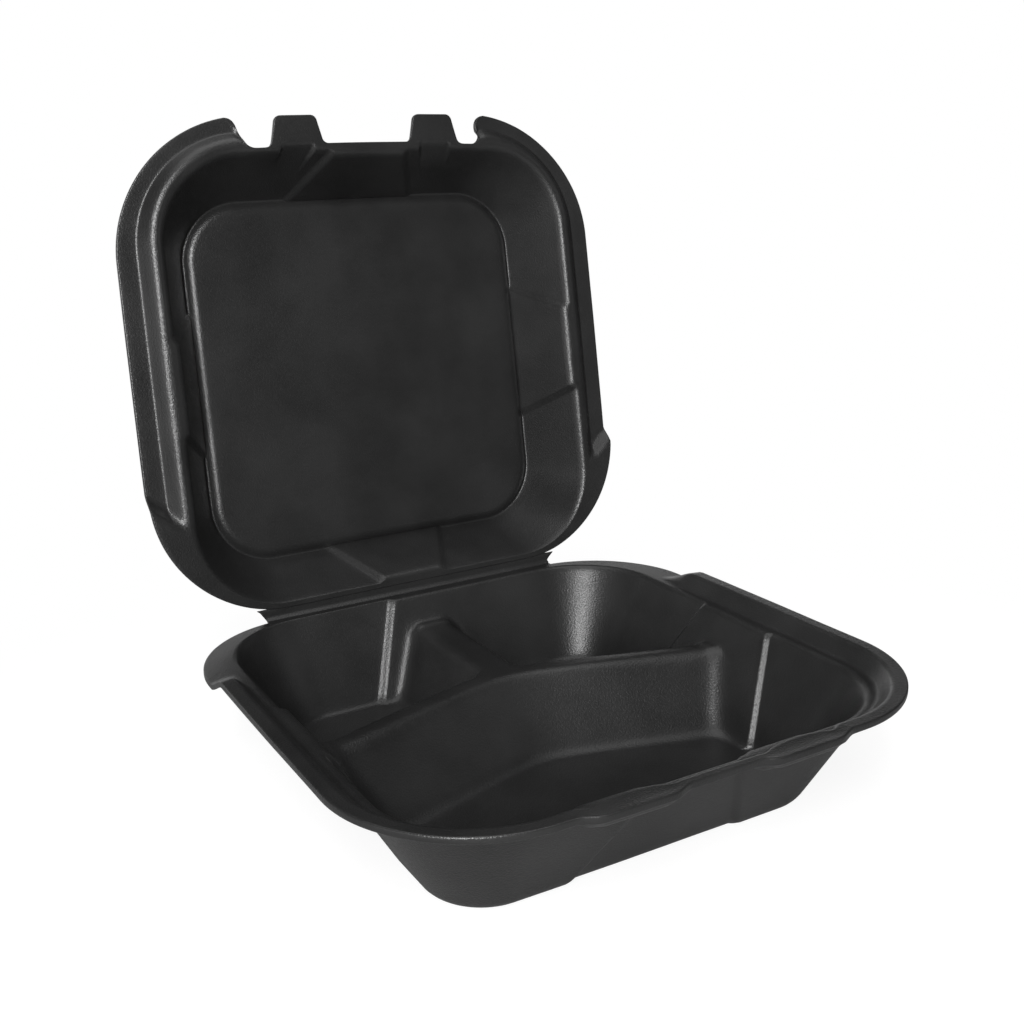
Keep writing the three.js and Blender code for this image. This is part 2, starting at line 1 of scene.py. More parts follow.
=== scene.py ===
import json
import math

import bpy
import numpy as np
from mathutils import Matrix, Vector


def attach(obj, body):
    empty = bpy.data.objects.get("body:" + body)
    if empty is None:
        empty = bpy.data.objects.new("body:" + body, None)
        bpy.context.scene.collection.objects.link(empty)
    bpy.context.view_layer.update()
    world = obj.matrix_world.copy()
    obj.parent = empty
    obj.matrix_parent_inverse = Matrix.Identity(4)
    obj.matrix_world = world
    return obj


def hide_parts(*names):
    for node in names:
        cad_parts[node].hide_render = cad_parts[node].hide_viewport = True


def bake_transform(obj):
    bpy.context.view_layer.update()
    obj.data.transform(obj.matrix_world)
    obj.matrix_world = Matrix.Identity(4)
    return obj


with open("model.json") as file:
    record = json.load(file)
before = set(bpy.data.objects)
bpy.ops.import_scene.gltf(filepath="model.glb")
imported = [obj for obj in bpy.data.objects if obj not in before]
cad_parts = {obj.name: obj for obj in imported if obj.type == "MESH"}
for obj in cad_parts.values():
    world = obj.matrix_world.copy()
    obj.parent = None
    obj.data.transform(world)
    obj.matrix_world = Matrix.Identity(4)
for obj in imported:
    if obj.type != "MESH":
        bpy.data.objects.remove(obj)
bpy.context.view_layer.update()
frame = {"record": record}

bl_info = {
    "name": "Compartment Container",
    "version": (1, 0, 0),
    "blender": (4, 5, 0),
    "location": "3D View > Sidebar > Container",
    "description": "A formed foam takeaway container with a divided tray and a hinged lid",
    "category": "Object",
}

HINGE = next(j for j in frame["record"]["behaviour"]["joints"] if j["name"] == "lid_hinge")
CREASE = np.array(HINGE["pos_m"])
OPEN_ANGLE = math.radians(max(HINGE["range_deg"]))
MILLIMETRE = 0.001

# The shells are drawn in a forming frame of millimetres: x runs along the hinge, d is the distance
# in front of the hinge crease, and e is the depth from the plane where the closed shells meet,
# positive into either shell's cavity. A half is measured from its own middle, the backs and fronts
# of rim, mouth and plateau are places in d, and a foot is where a wall meets the floor.

# ---- sizes that both shells share, in millimetres ----
SHEET = 2.5
RIM_FRONT = 221.8
RIM_BACK = 3.4
LIP_HEIGHT = 5.8
MOUTH_HALF = 99.8
MOUTH_BACK = 6.0
MOUTH_FRONT = 207.0
MOUTH_RADIUS = 38.0
# How far a wall's and a bend's outside lie beyond their inside.
WALL_OUT, BEND_OUT = 1.6, 1.1
SIDE_BOW, FRONT_BOW = 0.85, 2.3
BOW_MIDDLE, BOW_REACH = 113.0, 108.0
# The walls' panels stand into the cavity. An edge is the length over which one does so.
PANEL_INSET = 2.2
PANEL_EDGE = 4.2
SIDE_PANEL_EDGE = 2.6
SIDE_PANEL_HALF = 22.3
END_PANEL_HALF = 18.0

# ---- the base ----
BASE_DEPTH = 42.0
FLOOR = BASE_DEPTH - SHEET
BASE_HALF = 115.4
BASE_BACK_RADIUS, BASE_FRONT_RADIUS = 47.5, 53.0
BASE_RISER = (104.1, 109.4)
WALL_LEAN = 22.4
BACK_LEAN = 19.6
FOOT_RADIUS = 21.0
LIP_START, LIP_FULL = 54.5, 67.5
BASE_PANEL_MIDDLE = 110.0
BASE_PANEL_FOOT_HALF = 38.0
BACK_PANEL_FOOT_HALF = 34.0
# The front panel stands forward at the cavity's edge, and is set back at the foot and underneath.
FRONT_PANEL_HALF, FRONT_PANEL_FOOT_HALF = 15.2, 33.5
FRONT_PANEL_OUT, FRONT_PANEL_FOOT_IN, FRONT_PANEL_UNDER_IN = 1.5, 1.8, 2.0
# The riser's foot and top between the lugs, as places in d.
FRONT_RISER = (211.5, 218.6)

# ---- the lugs and the pockets below them ----
LUG_MIDDLE, LUG_HALF = 34.6, 22.0
LUG_INNER, LUG_INNER_END = 215.0, 220.4
LUG_RUN = 10.0
LUG_REACH = 3.0
LUG_DISH = 0.4
# The plain rim between a lug and the front panel, and how far the cavity's edge is set back.
LUG_GAP, LUG_WALL_IN = 4.0, 1.5
# Where the panel below a lug starts, is full, is last full and ends, at the foot.
LUG_PANEL_FOOT = (52.0, 48.0, 40.0, 37.2)
POCKET_MIDDLE, POCKET_HALF, POCKET_EDGE = 34.2, 15.4, 5.0
# The face is a place in d.
POCKET_FACE = 221.5
# How far the corners of a lug's section lie behind or ahead of the pocket's face, and above or
# below the sheet's own level there. The heel and the neck are the outside of the riser's foot and
# top, and the brow lies between the neck and the rim.
POCKET_FOOT_BACK, POCKET_FOOT_RISE = 0.4, 0.2
ROOF_AHEAD, ROOF_SLOPE = 0.5, 0.1
ROOF_SHEET = 0.96
HEEL_BACK, HEEL_DROP = 7.0, 0.7
NECK_AHEAD, NECK_RISE = 1.1, 0.8
BROW_AHEAD, BROW_DROP = 2.4, 0.4
# The brow's place on the way from the rim to the neck, as a share.
BROW_SHARE = 0.3

# ---- the dividers ----
DIVIDER_TOP = 12.0
# The long divider's flat top, behind and in front of its middle line, and the short one's half.
LONG_BACK, LONG_FRONT = 5.6, -1.4
SHORT_HALF_TOP = 5.2
LONG_ROUND, SHORT_ROUND = 5.0, 4.5
LONG_BACK_LEAN, LONG_FRONT_LEAN, SHORT_LEAN = 0.58, 0.86, 0.50
LONG_APEX = 85.3
LONG_SPLAY, LONG_SPLAY_ROUND = 0.32, 14.0
# How far in front of the long divider's back edge the short one's top begins.
SHORT_LAP = 1.0
# How far roundings reach where the dividers meet each other, where they meet the walls (tight at
# their tops, wide lower down) and at the floor, inside and underneath.
DIVIDER_MEET = 5.0
CORNER_FADE = 7.0
INSIDE_TIGHT, INSIDE_WIDE, INSIDE_FLOOR = 7.5, 13.0, 4.0
UNDER_TIGHT, UNDER_WIDE, UNDER_FLOOR = 2.0, 6.0, 4.0
# How much narrower the dividers are underneath, at each side.
UNDER_TRIM = 1.4

# ---- the lid ----
LID_HALF = 118.0
LID_BACK_RADIUS, LID_FRONT_RADIUS = 56.0, 60.5
LID_RISER = (104.0, 109.2)
LID_MOUTH_FRONT = 204.8
LID_DEPTH = 32.5
LID_LIP_START, LID_LIP_FULL = 54.5, 61.5
CLOSED_GAP = 0.4
PLATEAU_HALF = 80.5
PLATEAU_BACK, PLATEAU_FRONT = 25.0, 183.5
PLATEAU_RADIUS = 24.0
PLATEAU_RISE = 2.5
PLATEAU_EDGE = 3.0
GROOVE = 3.8
LID_PANEL_MIDDLE = 105.0
LID_PANEL_FOOT_HALF = 34.5
END_PANEL_FOOT_HALF = 32.0
FOOT_INSET = 1.5

# ---- the lid's front edge, with the tabs, the notches and the thumb hollows ----
STEP_FOOT_D, STEP_RUN = 209.3, 5.2
# The stepped rim is all that lies further out than this.
STEP_SIDE = 50.0
FLANGE_END, FLANGE_ROUND, FLANGE_BACK = 60.3, 5.0, 0.5
NOTCH_EDGE, NOTCH_ROUND = 206.0, 6.0
ROOT_ROUND = 4.0
TAB_MIDDLE = 34.2
TAB_TIP = 220.6
TAB_HALF_TIP, TAB_HALF_ROOT = 10.2, 11.8
TAB_CORNER = 3.0
LOW_EDGE = 207.9
THUMB_HALF, THUMB_EDGE = 9.0, 2.4
THUMB_DEPTH = 2.6
THUMB_FOOT = 10.0

# ---- the hinge strip ----
STRIP_STOPS = (4.3, 3.2, 2.2, 1.3, 0.6)
STRIP_INNER, STRIP_OUTER = 0.55, 1.45
STRIP_LID_SINK = 0.2
STRIP_BEAD, STRIP_BACK = 0.25, 0.75
STRIP_RINGS = 96
FLARE_RISE = 6.0

# ---- the foam's finish: lengths in millimetres, the rest as shares ----
FOAM_IOR = 1.5
GRAIN_DETAIL, GRAIN_BAND = 2.0, (0.3, 0.7)
GRAIN_ROUGHNESS = (-0.05, 0.06)
PEBBLE_HEIGHT = 0.25
MOTTLE_SIZE, MOTTLE_DETAIL, MOTTLE_BAND = 34.0, 3.0, (0.35, 0.65)
MOTTLE_DARK, MOTTLE_LIGHT = 0.78, 1.25
SPECK_SPACING, SPECK_REACH, SPECK_LIGHT = 2.2, 0.05, 3.2
WAVES_PER_METRE, WAVE_DETAIL = 28.0, 1.0
BASE_SEED, LID_SEED = 3.0, 7.0

# ---- the stage, in metres and degrees ----
FLOOR_HALF, FLOOR_DROP = 6.0, 0.0002
PAPER, SHADOWED_PAPER, PAPER_GLOW = 0.38, 0.2, 0.86
SHADOW_FADE = (0.16, 0.34)
BACKDROP_HALF, BACKDROP_HEIGHT, BACKDROP_BEHIND = 2.4, 0.55, 1.3
STAGE_MIDDLE = (0.0, 0.07, 0.06)
# Each light's name, the way to it from the middle of the stage, how far it is, and its size.
LIGHTS = (
    ("key", (-0.575, -0.77, 0.45), 1.3, (0.26, 1.1)),
    ("fill", (0.75, -0.55, 0.35), 1.4, (0.7, 0.7)),
    ("side", (-0.95, -0.3, 0.02), 1.3, (0.8, 0.8)),
    ("top", (0.0, 0.02, 1.0), 1.2, (1.0, 1.0)),
)
CAMERA_PLACE = (-0.238328, -0.353838, 0.237665)
CAMERA_HEADING, CAMERA_DIP, CAMERA_ROLL = -28.964, 11.716, -1.536
CAMERA_LENS, CAMERA_SENSOR, CAMERA_SHIFT = 43.635, 36.0, (0.0276, -0.0917)

# ---- how finely the shells are drawn ----
# A shell's ring of points is five runs of legs, from its back middle to its front middle.
BACK, BACK_CORNER, SIDE, FRONT_CORNER, FRONT = range(5)
BASE_LEGS = ([10, 6, 14], [34], [21, 7, 20, 7, 6], [36], [6, 8, 17, 7, 6, 8])
LID_LEGS = ([12, 6, 14], [38], [20, 7, 20, 7, 5], [34], [118])
ARC_STEPS = 6
WALL_ROWS, OUTER_WALL_ROWS = 28, 21
# The rows beyond a wall's own, at its bend, that are still formed together with it.
WALL_END_ROWS = 3
FLOOR_ROWS, UNDER_ROWS = 62, 44
NODE_SPACING = 180


# ---- numbers and outlines ----
def smooth(value):
    value = np.clip(value, 0.0, 1.0)
    return value * value * (3.0 - 2.0 * value)


def slope(value):
    """A nearly straight ramp from 0 to 1, eased a little at both ends."""
    straight = 0.65
    return straight * np.clip(value, 0.0, 1.0) + (1 - straight) * smooth(value)


def mix(a, b, share):
    """The value a where share is 0, and b where it is 1."""
    return a * (1 - share) + b * share


def soft_min(a, b, reach):
    meet = np.maximum(reach - np.abs(a - b), 0) / reach
    return np.minimum(a, b) - meet * meet * reach / 4


def edges(middle, half, edge):
    """The ends of a raised or sunk stretch and of its full part, from the far end to the near."""
    return [middle + half, middle + half - edge, middle - half + edge, middle - half]


def spread(stops, counts):
    """Stations on the legs between the stops, without the last stop."""
    legs = [
        np.linspace(a, b, n, endpoint=False) for a, b, n in zip(stops[:-1], stops[1:], counts)
    ]
    return np.concatenate(legs)


def bowed(x, d):
    """The slight outward bow of the sides and the front."""
    x = x * (1 - SIDE_BOW / BASE_HALF * ((d - BOW_MIDDLE) / BOW_REACH) ** 2)
    ahead = np.maximum(d - BOW_MIDDLE, 0) / BOW_REACH
    return x, d - ahead * FRONT_BOW * (x / BASE_HALF) ** 2


def points(x, d, e):
    x, d = bowed(np.asarray(x, float), np.asarray(d, float))
    return np.stack([x, d, np.broadcast_to(np.asarray(e, float), x.shape)], axis=1)


class Runs:
    """The runs of a ring's right half. The last station, at the front middle, stands alone."""

    def __init__(self, legs):
        self.legs = legs
        self.sizes = [sum(counts) for counts in legs]
        self.count = sum(self.sizes) + 1

    def part(self, index):
        start = sum(self.sizes[:index])
        return slice(start, start + self.sizes[index])

    def weights(self, index, heights):
        """A weight on one run, with these heights at its legs' ends, and 0 on the other runs."""
        weight = np.zeros(self.count)
        ramps = [
            start + (stop - start) * smooth(np.arange(n) / n)
            for n, start, stop in zip(self.legs[index], heights[:-1], heights[1:])
        ]
        weight[self.part(index)] = np.concatenate(ramps)
        if index == FRONT:
            weight[-1] = heights[-1]
        return weight


def ring(runs, half, back, front, back_radius, front_radius, panel, end_half, front_stops,
         corner_end=0.0):
    """Half a rounded rectangle. Its stations fall on the same features in every ring. The panel is
    the side panel's middle, half and edge. The front corner stops early at corner_end."""
    rear_stops = [0, end_half - PANEL_EDGE, end_half, half - back_radius]
    rear = spread(rear_stops, runs.legs[BACK])
    turn = np.linspace(0, np.pi / 2, runs.sizes[BACK_CORNER], endpoint=False)
    side_stops = [back + back_radius, *reversed(edges(*panel)), front - front_radius]
    side = spread(side_stops, runs.legs[SIDE])
    reach = np.clip((corner_end - (half - front_radius)) / front_radius, 0, 1)
    front_turn = np.linspace(0, np.arccos(reach), runs.sizes[FRONT_CORNER], endpoint=False)
    ahead = spread([half - front_radius, *front_stops], runs.legs[FRONT])
    x = [rear, half - back_radius + back_radius * np.sin(turn), np.full(side.shape, half)]
    d = [np.full(rear.shape, back), back + back_radius * (1 - np.cos(turn)), side]
    x += [half - front_radius * (1 - np.cos(front_turn)), ahead, [0.0]]
    d += [front - front_radius * (1 - np.sin(front_turn)), np.full(ahead.shape, front), [front]]
    return np.concatenate(x), np.concatenate(d)


def ledge_ring(mouth, rim, rim_half, half):
    """The ring of that half width on the ledge between the cavity's edge and the rim."""
    share = (half - MOUTH_HALF) / (rim_half - MOUTH_HALF)
    return [mix(a, b, share) for a, b in zip(mouth, rim)]


def grown(x, d, by, half, centre_d):
    """A ring grown from its centre by that many millimetres at its half width."""
    more = 1 + by / half
    return x * more, centre_d + (d - centre_d) * more


def toward(corner, other, radius):
    """Where a bend of that radius starts on the way from its corner to the other one. Two bends
    that share a leg never meet."""
    largest_share, nothing = 0.48, 1e-9
    run = other - corner
    length = np.maximum(np.linalg.norm(run, axis=1, keepdims=True), nothing)
    return corner + run * np.minimum(radius / length, largest_share)


def sweep(keys):
    """Rows of points from the first key ring to the last, with every key between them rounded. A
    key is its ring, its bend's radius, the rows in the leg before it and the rows in its bend."""
    rings = [key[0] for key in keys]
    rows = [rings[0]]
    start = rings[0]
    for j, (corner, radius, leg, turn) in enumerate(keys[1:], 1):
        last = j == len(keys) - 1
        stop = corner if last else toward(corner, rings[j - 1], radius)
        rows += [start + (stop - start) * (k / leg) for k in range(1, leg + 1)]
        if last:
            break
        start = toward(corner, rings[j + 1], radius)
        for t in (k / turn for k in range(1, turn + 1)):
            rows.append((1 - t) ** 2 * stop + 2 * t * (1 - t) * corner + t * t * start)
    return np.stack(rows)


# ---- meshes ----
def new_object(name, mesh):
    thing = bpy.data.objects.new(name, mesh)
    bpy.context.scene.collection.objects.link(thing)
    return thing


def signed_volume(mesh):
    mesh.calc_loop_triangles()
    where = np.zeros(len(mesh.vertices) * 3)
    mesh.vertices.foreach_get("co", where)
    where = where.reshape(-1, 3)
    corners = np.zeros(len(mesh.loop_triangles) * 3, np.int32)
    mesh.loop_triangles.foreach_get("vertices", corners)
    a, b, c = (where[corners.reshape(-1, 3)[:, k]] for k in range(3))
    return float(np.einsum("ij,ij->i", a, np.cross(b, c)).sum() / 6)


def face_outwards(mesh):
    if signed_volume(mesh) < 0:
        mesh.flip_normals()


def closed_mesh(name, rows, left_rows, place):
    """A closed mesh from rows over the right half and over the left half, mirrored. The first and
    last rows lie on the middle points of the inside and the outside."""
    left = left_rows[:, -2:0:-1].copy()
    left[:, :, 0] *= -1
    whole = np.concatenate([rows, left], axis=1)
    count, rings = whole.shape[1], whole.shape[0] - 2
    body = whole[1:-1].reshape(-1, 3)
    flat = np.concatenate([body, [whole[0].mean(axis=0)], [whole[-1].mean(axis=0)]])
    i = np.arange(count)
    j = (i + 1) % count
    first_band = np.stack([i, i + count, j + count, j], axis=1)
    faces = np.concatenate([first_band + r * count for r in range(rings - 1)]).tolist()
    top, bottom = rings * count, rings * count + 1
    end = (rings - 1) * count
    faces += [(top, int(p), int(q)) for p, q in zip(i, j)]
    faces += [(bottom, int(end + q), int(end + p)) for p, q in zip(i, j)]
    mesh = bpy.data.meshes.new(name)
    mesh.from_pydata(place(flat).tolist(), [], faces)
    mesh.update()
    face_outwards(mesh)
    mesh.shade_smooth()
    return new_object(name, mesh)


def place_base(flat):
    out = np.stack([flat[:, 0], -flat[:, 1], -flat[:, 2]], axis=1)
    return out * MILLIMETRE + CREASE


def place_lid(flat):
    """The lid stands open: it is turned back about the crease from closed."""
    y, z = -flat[:, 1], flat[:, 2]
    c, s = math.cos(-OPEN_ANGLE), math.sin(-OPEN_ANGLE)
    out = np.stack([flat[:, 0], y * c - z * s, y * s + z * c], axis=1)
    return out * MILLIMETRE + CREASE


# ---- the base shell ----
def divider_depth(x, d, top, trim):
    """Depth of the dividers' surface. It goes on below the floor, where the floor covers it."""
    crest = LONG_APEX + LONG_SPLAY * (np.hypot(x, LONG_SPLAY_ROUND) - LONG_SPLAY_ROUND)

    def flank(out, lean, bend):
        """A round edge of radius bend, then the straight leaning side."""
        out = np.maximum(out, 0)
        end = bend / np.hypot(1, lean)
        arc_depth = bend - np.sqrt(np.maximum(bend ** 2 - out ** 2, 0))
        return top + np.where(out < end, arc_depth, bend - lean * end + (out - end) / lean)

    behind = flank(crest - d - (LONG_BACK - trim), LONG_BACK_LEAN, LONG_ROUND)
    before = flank(d - crest - (LONG_FRONT - trim), LONG_FRONT_LEAN, LONG_ROUND)
    beyond = np.maximum(d - LONG_APEX + LONG_BACK - SHORT_LAP, 0)
    across = np.maximum(np.abs(x) - (SHORT_HALF_TOP - trim), 0)
    short = flank(np.hypot(across, beyond), SHORT_LEAN, SHORT_ROUND)
    return np.maximum(soft_min(np.maximum(behind, before), short, DIVIDER_MEET), top)


def formed(rows, bottom, top, trim, tight, wide, fillet):
    """Joins wall, dividers and floor in one surface, with hollows rounded more the deeper they
    lie. It takes each point's depth as the wall's depth there."""
    x, d, wall = (rows[:, :, k] for k in range(3))
    ridge = divider_depth(x, d, top, trim)
    deep = smooth((np.maximum(wall, ridge) - top) / CORNER_FADE)
    hollow = soft_min(wall, ridge, tight + (wide - tight) * deep)
    return np.stack([x, d, soft_min(hollow, bottom, fillet)], axis=2)


def rows_under_wall(foot, centre, wall_run, depth, shares):
    """Rows across the floor, at these shares of the way from the wall's foot to the centre. Their
    depth is that of the wall, gone on below the floor."""
    rows = []
    for share in shares:
        at = foot + (centre - foot) * share
        far = np.linalg.norm((foot - at)[:, :2], axis=1)
        rows.append(np.stack([at[:, 0], at[:, 1], depth * (1 + far / wall_run)], axis=1))
    return np.stack(rows)


def base_keys(right):
    """The key rings of one half of the base, from the wall's foot inside over the rim to the
    wall's foot outside. Only on the left does the back panel end in a step."""
    runs = Runs(BASE_LEGS)
    side_w = runs.weights(SIDE, [0, 0, 1, 1, 0, 0])
    back_w = runs.weights(BACK, [1, 1, 0, 0])
    if right:
        back_w = runs.weights(BACK, [1, 1, 1, 1]) + runs.weights(BACK_CORNER, [1, 0])
    lug_w = runs.weights(FRONT, [0, 0, 1, 1, 0, 0, 0])
    between_w = runs.weights(FRONT, [0, 0, 0, 0, 1, 1, 1])
    middle_w = runs.weights(FRONT, [0, 0, 0, 0, 0, 1, 1])

    pocket = edges(POCKET_MIDDLE, POCKET_HALF, POCKET_EDGE)
    lug = edges(LUG_MIDDLE, LUG_HALF, LUG_RUN)
    panel = (BASE_PANEL_MIDDLE, SIDE_PANEL_HALF, SIDE_PANEL_EDGE)
    foot_panel = (BASE_PANEL_MIDDLE, BASE_PANEL_FOOT_HALF, SIDE_PANEL_EDGE)
    mouth_x, mouth_d = ring(runs, MOUTH_HALF, MOUTH_BACK, MOUTH_FRONT, MOUTH_RADIUS,
                            MOUTH_RADIUS, panel, END_PANEL_HALF, [*pocket, FRONT_PANEL_HALF, 0])
    mouth_d = mouth_d - LUG_WALL_IN * lug_w + FRONT_PANEL_OUT * middle_w
    foot_x, foot_d = ring(runs, MOUTH_HALF - WALL_LEAN, MOUTH_BACK + BACK_LEAN,
                          MOUTH_FRONT - WALL_LEAN, FOOT_RADIUS, FOOT_RADIUS, foot_panel,
                          BACK_PANEL_FOOT_HALF, [*LUG_PANEL_FOOT, FRONT_PANEL_FOOT_HALF, 0])
    foot_d = foot_d - FRONT_PANEL_FOOT_IN * middle_w
    rim_x, rim_d = ring(runs, BASE_HALF, RIM_BACK, RIM_FRONT, BASE_BACK_RADIUS,
                        BASE_FRONT_RADIUS, panel, END_PANEL_HALF, [*lug, lug[-1] - LUG_GAP, 0])
    rim_d = rim_d + LUG_REACH * lug_w
    lift = -LIP_HEIGHT * slope((rim_d - LIP_START) / (LIP_FULL - LIP_START))
    middle_d = (MOUTH_BACK + BACK_LEAN + MOUTH_FRONT - WALL_LEAN) / 2

    def panelled(x, d):
        return x - PANEL_INSET * side_w, d + PANEL_INSET * back_w

    low_x, low_d = ledge_ring((mouth_x, mouth_d), (rim_x, rim_d), BASE_HALF, BASE_RISER[0])
    high_x, high_d = ledge_ring((mouth_x, mouth_d), (rim_x, rim_d), BASE_HALF, BASE_RISER[1])
    # Between the lugs the riser lies further forward, and under a lug it is the pocket's face.
    front_w = np.clip(lug_w + between_w, 0, 1)
    low_d = mix(low_d, mix(FRONT_RISER[0], POCKET_FACE - POCKET_FOOT_BACK, lug_w), front_w)
    high_d = mix(high_d, FRONT_RISER[1], front_w)
    along = np.clip(np.abs(rim_x - LUG_MIDDLE) / LUG_HALF, 0, 1)
    high_d = mix(high_d, mix(LUG_INNER, LUG_INNER_END, along ** 2), lug_w)
    # The riser has two more keys, a third and two thirds up. Under a lug they are the pocket's roof.
    fold, eave = 1 / 3, 2 / 3
    roof_d = mix(low_d, POCKET_FACE + ROOF_AHEAD, lug_w)
    roof_e = lift + SHEET * ROOF_SHEET
    fold_d = mix(mix(low_d, high_d, fold), roof_d, lug_w)
    fold_e = mix(lift * fold, roof_e, lug_w)
    eave_d = mix(mix(low_d, high_d, eave), high_d, lug_w)
    eave_e = mix(lift * eave, roof_e + ROOF_SLOPE, lug_w)

    inner_x, inner_d = panelled(mouth_x, mouth_d)
    foot_x, foot_d = panelled(foot_x, foot_d)
    under_d = inner_d + LUG_WALL_IN * lug_w - FRONT_PANEL_UNDER_IN * middle_w
    under_mouth = grown(inner_x, under_d, WALL_OUT, BASE_HALF, middle_d)
    under_foot = grown(foot_x, foot_d, WALL_OUT, BASE_HALF, middle_d)
    heel_x, heel_d = grown(low_x, low_d, BEND_OUT, BASE_HALF, middle_d)
    heel_d = mix(heel_d, POCKET_FACE - HEEL_BACK, lug_w)
    neck_x, neck_d = grown(high_x, high_d, BEND_OUT, BASE_HALF, middle_d)
    neck_d = mix(neck_d, POCKET_FACE + NECK_AHEAD, lug_w)
    neck_e = mix(lift + SHEET, -NECK_RISE, lug_w)
    brow_x = mix(rim_x, neck_x, BROW_SHARE)
    lug_brow_d = mix(rim_d, POCKET_FACE + BROW_AHEAD, lug_w)
    brow_d = mix(mix(rim_d, neck_d, BROW_SHARE), lug_brow_d, lug_w)
    middle = np.array([0.0, middle_d, 0.0])
    return middle, [
        (points(foot_x, foot_d, FLOOR), 0, 0, 0),
        (points(inner_x, inner_d, 0), 3.0, WALL_ROWS, 5),
        (points(low_x, low_d, -POCKET_FOOT_RISE * lug_w), 1.4, 2, 4),
        (points(mix(low_x, high_x, fold), fold_d, fold_e), 0.3, 2, 2),
        (points(mix(low_x, high_x, eave), eave_d, eave_e), 0.3, 1, 2),
        (points(high_x, high_d, lift), 1.8, 2, 4),
        (points((high_x + rim_x) / 2, (high_d + rim_d) / 2, lift + LUG_DISH * lug_w), 3.0, 2, 2),
        (points(rim_x, rim_d, lift), 0.6, 2, 3),
        (points(rim_x, rim_d, lift + SHEET), 0.8, 2, 3),
        (points(brow_x, brow_d, lift + SHEET + BROW_DROP * lug_w), 0.5, 1, 2),
        (points(neck_x, neck_d, neck_e), 1.4, 2, 3),
        (points(heel_x, heel_d, SHEET + HEEL_DROP * lug_w), 2.0, 2, 3),
        (points(*under_mouth, SHEET), 2.6, 2, 4),
        (points(*under_foot, BASE_DEPTH), 0, OUTER_WALL_ROWS, 0),
    ]


def base_shell(right):
    """Rows of one half of the base, from the floor's middle inside to its middle underneath."""
    middle, keys = base_keys(right)
    skin = sweep(keys)
    foot, mouth, under_mouth, under_foot = keys[0][0], keys[1][0], keys[-2][0], keys[-1][0]
    inner, outer = WALL_ROWS + WALL_END_ROWS, OUTER_WALL_ROWS + WALL_END_ROWS
    run = np.linalg.norm((foot - mouth)[:, :2], axis=1)
    floor_shares = 1 - np.arange(FLOOR_ROWS) / FLOOR_ROWS
    floor = rows_under_wall(foot, middle, run, FLOOR, floor_shares)
    inside = formed(np.concatenate([floor, skin[:inner]]), FLOOR, DIVIDER_TOP, 0.0,
                    INSIDE_TIGHT, INSIDE_WIDE, INSIDE_FLOOR)
    run = np.linalg.norm((under_foot - under_mouth)[:, :2], axis=1)
    under_shares = np.arange(1, UNDER_ROWS + 1) / UNDER_ROWS
    under = rows_under_wall(under_foot, middle, run, BASE_DEPTH, under_shares)
    outside = formed(np.concatenate([skin[-outer:], under]), BASE_DEPTH, DIVIDER_TOP + SHEET,
                     UNDER_TRIM, UNDER_TIGHT, UNDER_WIDE, UNDER_FLOOR)
    return np.concatenate([inside, skin[inner:-outer], outside])


# ---- the lid shell ----
def arc(centre, radius, start, stop, mouth):
    """A quarter arc of the front edge, with its places on the cavity's edge."""
    turn = np.radians(np.linspace(start, stop, ARC_STEPS + 1))
    x, d = centre[0] + radius * np.cos(turn), centre[1] + radius * np.sin(turn)
    return np.stack([x, d, np.linspace(*mouth, ARC_STEPS + 1)], axis=1)


def front_edge():
    """The lid's front edge, right half, from the rim's corner to the middle: the rounded end of the
    stepped rim, the notch, the tab and the low edge. The third number of a point, which an arc's
    last pair gives, is the place on the cavity's edge that it belongs to."""
    tip_out, tip_in = TAB_MIDDLE + TAB_HALF_TIP, TAB_MIDDLE - TAB_HALF_TIP
    root_out, root_in = TAB_MIDDLE + TAB_HALF_ROOT, TAB_MIDDLE - TAB_HALF_ROOT
    flange = (FLANGE_END + FLANGE_ROUND, RIM_FRONT - FLANGE_ROUND - FLANGE_BACK)
    notch = (FLANGE_END - NOTCH_ROUND, NOTCH_EDGE + NOTCH_ROUND)
    root = (root_out + ROOT_ROUND, NOTCH_EDGE + ROOT_ROUND)
    tip_d = TAB_TIP - TAB_CORNER
    return np.concatenate([
        arc(flange, FLANGE_ROUND, 90, 180, (62.0, 58.6)),
        arc(notch, NOTCH_ROUND, 0, -90, (57.4, 53.6)),
        arc(root, ROOT_ROUND, -90, -180, (50.0, 46.4)),
        arc((tip_out - TAB_CORNER, tip_d), TAB_CORNER, 0, 90, (43.6, 41.2)),
        arc((tip_in + TAB_CORNER, tip_d), TAB_CORNER, 90, 180, (27.2, 24.8)),
        arc((root_in - TAB_CORNER, LOW_EDGE + TAB_CORNER), TAB_CORNER, 0, -90, (22.4, 19.6)),
        [[0.0, LOW_EDGE, 0.0]],
    ])


